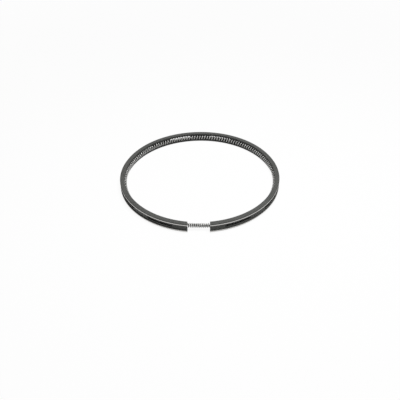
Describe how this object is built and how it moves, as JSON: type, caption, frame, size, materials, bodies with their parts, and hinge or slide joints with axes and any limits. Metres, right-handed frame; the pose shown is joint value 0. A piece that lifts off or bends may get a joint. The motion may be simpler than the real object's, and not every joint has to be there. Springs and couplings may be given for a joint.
{
  "type": "oil control piston ring",
  "caption": "Split cast-iron oil control ring with bevelled scraping lands, a slotted oil groove and a coil spring expander seated round its bore.",
  "frame": {"origin": "on the ring's axis, at its lower side face", "axes": "+Z along the ring's axis, up out of the upper side face; the end gap faces -Y, and +X is to the right of someone who looks at the gap"},
  "size_m": [0.104, 0.1036, 0.006],
  "materials": {
    "oil_ring": "dark grey phosphate coat, with the two narrow scraping lands lapped bright",
    "coil_spring": "drawn spring wire, dulled by a thin grey skin",
    "latch_wire": "plain drawn wire"
  },
  "bodies": {
    "root": {"oil_ring": "oil_ring", "coil_spring": "coil_spring", "latch_wire": "latch_wire"}
  },
  "joints": []
}
